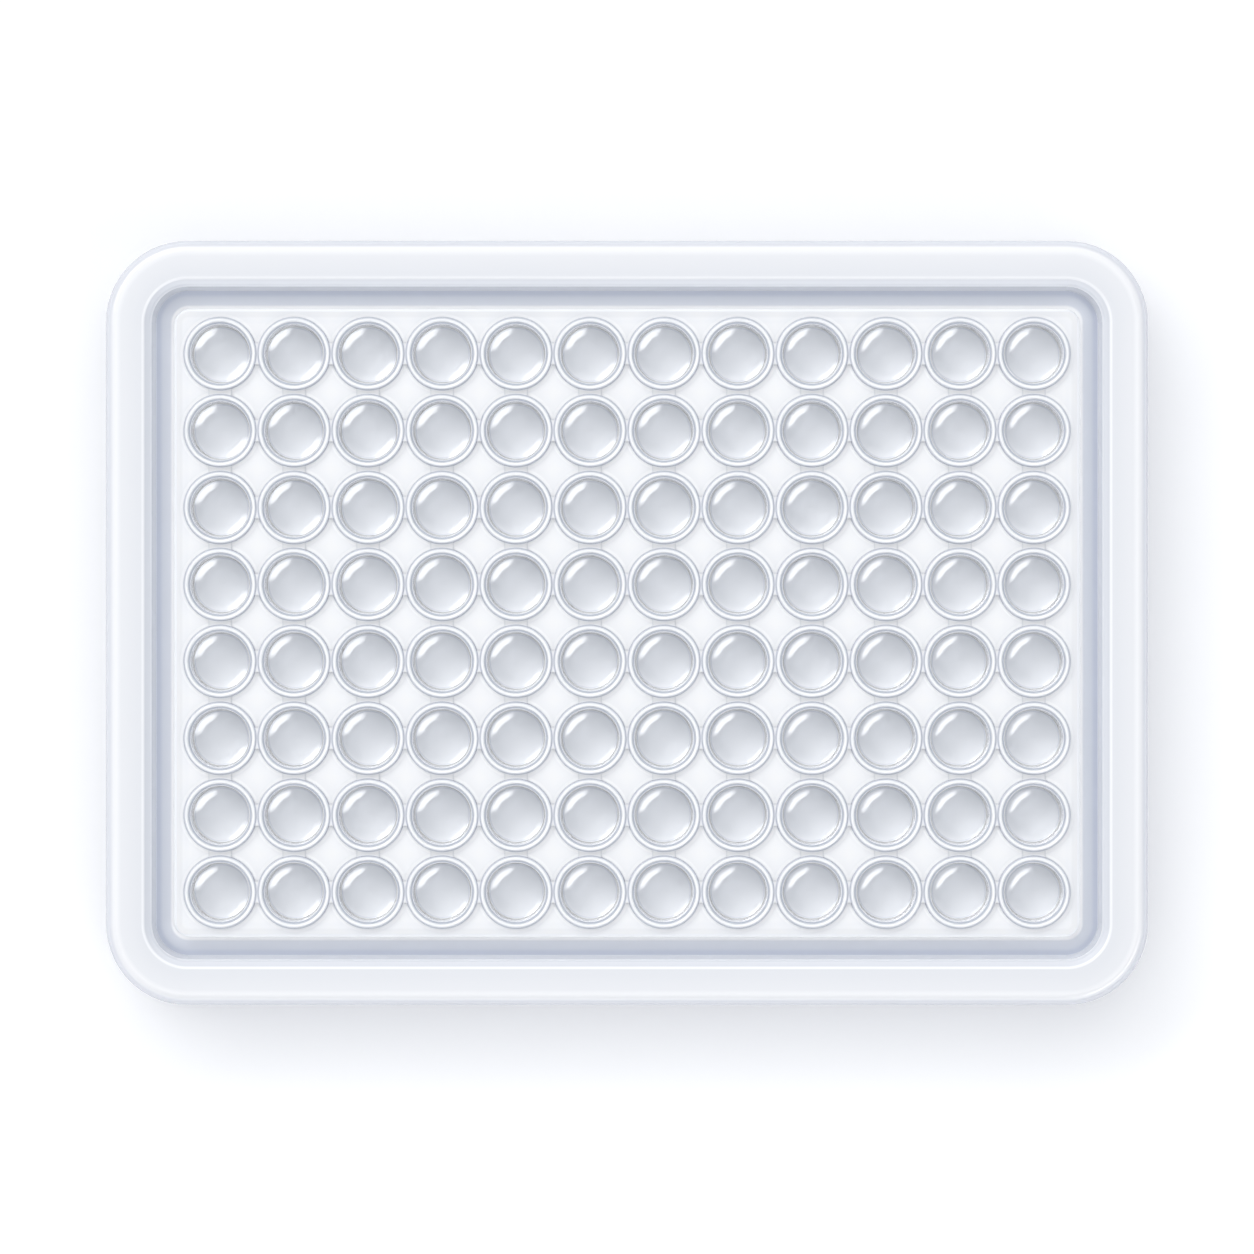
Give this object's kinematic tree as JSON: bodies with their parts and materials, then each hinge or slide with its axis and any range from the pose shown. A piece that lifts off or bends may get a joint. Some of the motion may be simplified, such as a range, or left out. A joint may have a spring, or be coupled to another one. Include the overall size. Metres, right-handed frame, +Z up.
{
  "type": "well plate",
  "caption": "Low rectangular laboratory plate with a rounded frame, a channel and a grid of round collared wells.",
  "frame": {"origin": "middle of the footprint, on the surface that the skirt stands on", "axes": "+X along the rows towards the last column, +Y towards the first row, +Z up out of the wells"},
  "size_m": [0.1278, 0.0936, 0.0143],
  "materials": {
    "polystyrene": "gloss"
  },
  "bodies": {
    "root": {"well_plate": "polystyrene"}
  },
  "joints": []
}
